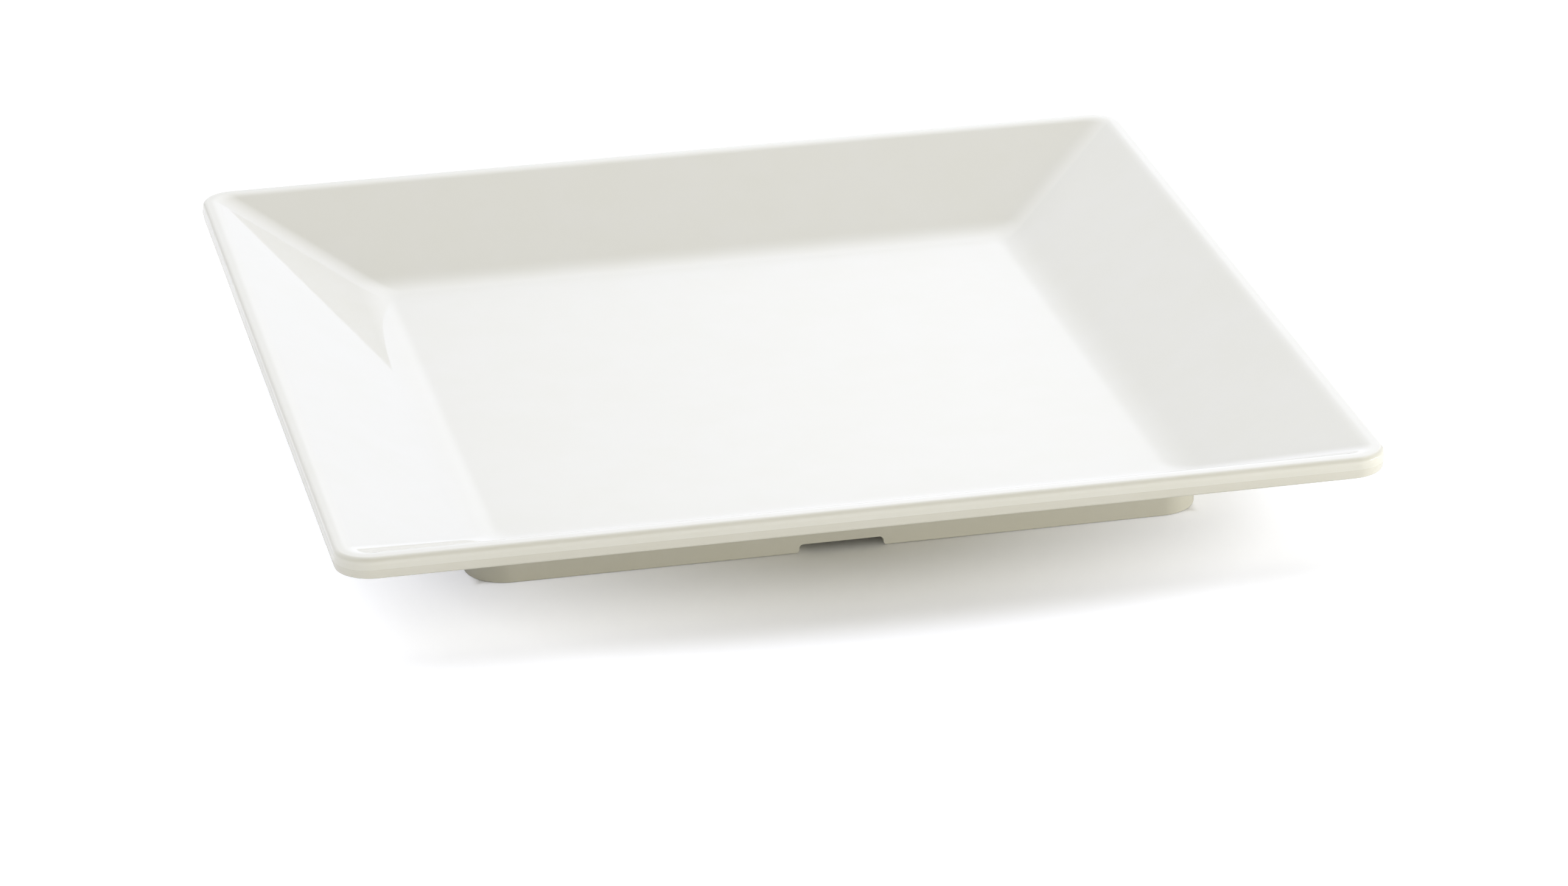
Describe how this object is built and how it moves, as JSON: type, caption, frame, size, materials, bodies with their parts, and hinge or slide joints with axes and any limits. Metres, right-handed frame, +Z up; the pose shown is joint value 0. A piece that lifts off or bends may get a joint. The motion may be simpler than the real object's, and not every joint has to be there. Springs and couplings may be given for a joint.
{
  "type": "serving tray",
  "caption": "Square flared serving tray with a flat floor, sloping walls, a thick rim with a fine seam line and a raised square foot ring with drain notches.",
  "frame": {"origin": "centre of the tray on the plane that the foot stands on", "axes": "+Z up out of the dish, +X and +Y square to the sides; the side seen in the picture faces -Y"},
  "size_m": [0.25, 0.25, 0.0256],
  "materials": {
    "dish_plastic": "glossy off-white moulded melamine",
    "base_plastic": "satin off-white moulded melamine"
  },
  "bodies": {
    "root": {"upper_shell": "dish_plastic", "lower_shell": "base_plastic", "foot_ring": "base_plastic"}
  },
  "joints": []
}
